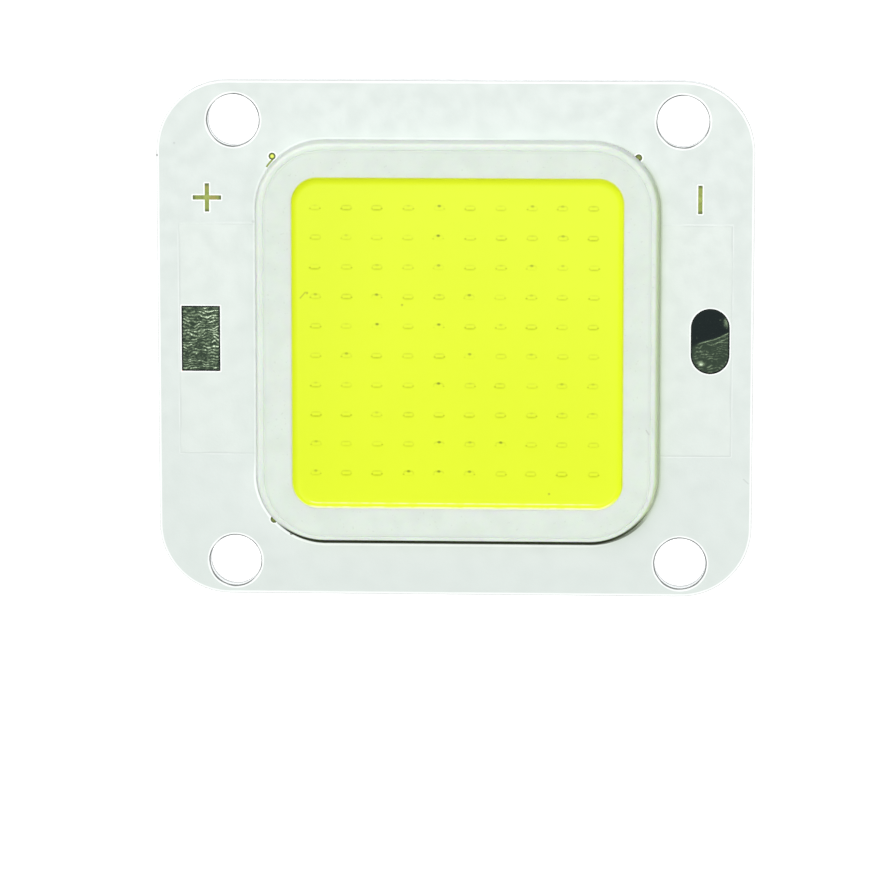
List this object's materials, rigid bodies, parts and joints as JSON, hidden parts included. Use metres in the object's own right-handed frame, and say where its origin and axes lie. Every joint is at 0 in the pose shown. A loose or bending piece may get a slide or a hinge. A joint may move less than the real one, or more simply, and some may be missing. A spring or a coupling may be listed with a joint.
{
  "type": "chip-on-board LED module",
  "caption": "Flat rectangular aluminium board with round corners, a raised white dam round a square yellow light-emitting surface, soldering pads at both ends and screw holes at the corners.",
  "frame": {"origin": "middle of the board's flat back face", "axes": "+X along the board's length towards the negative terminal, +Y along its width towards the polarity marks, +Z out of the light-emitting surface"},
  "size_m": [0.0462, 0.0402, 0.0028],
  "materials": {
    "aluminium_plate": "satin",
    "bond_film": "matte",
    "laminate": "matte",
    "copper_foil": "satin",
    "bare_copper": "satin",
    "white_mask": "satin",
    "tinned_pad": "satin",
    "frame_glue": "satin",
    "dam_plastic": "satin",
    "die_attach_silicone": "gloss",
    "led_chip": "gloss",
    "bond_wire": "polished",
    "phosphor_silicone": "gloss"
  },
  "bodies": {
    "root": {"base_plate": "aluminium_plate", "bond_film": "bond_film", "laminate": "laminate", "positive_bus": "copper_foil", "negative_bus": "copper_foil", "plus_mark": "bare_copper", "minus_mark": "bare_copper", "corner_marks": "bare_copper", "solder_mask": "white_mask", "positive_pad": "tinned_pad", "negative_pad": "tinned_pad", "frame_glue": "frame_glue", "dam_frame": "dam_plastic", "die_attach": "die_attach_silicone", "chip_row_1": "led_chip", "chip_row_2": "led_chip", "chip_row_3": "led_chip", "chip_row_4": "led_chip", "chip_row_5": "led_chip", "chip_row_6": "led_chip", "chip_row_7": "led_chip", "chip_row_8": "led_chip", "chip_row_9": "led_chip", "chip_row_10": "led_chip", "wire_row_1": "bond_wire", "wire_row_2": "bond_wire", "wire_row_3": "bond_wire", "wire_row_4": "bond_wire", "wire_row_5": "bond_wire", "wire_row_6": "bond_wire", "wire_row_7": "bond_wire", "wire_row_8": "bond_wire", "wire_row_9": "bond_wire", "wire_row_10": "bond_wire", "phosphor_fill": "phosphor_silicone"}
  },
  "joints": []
}
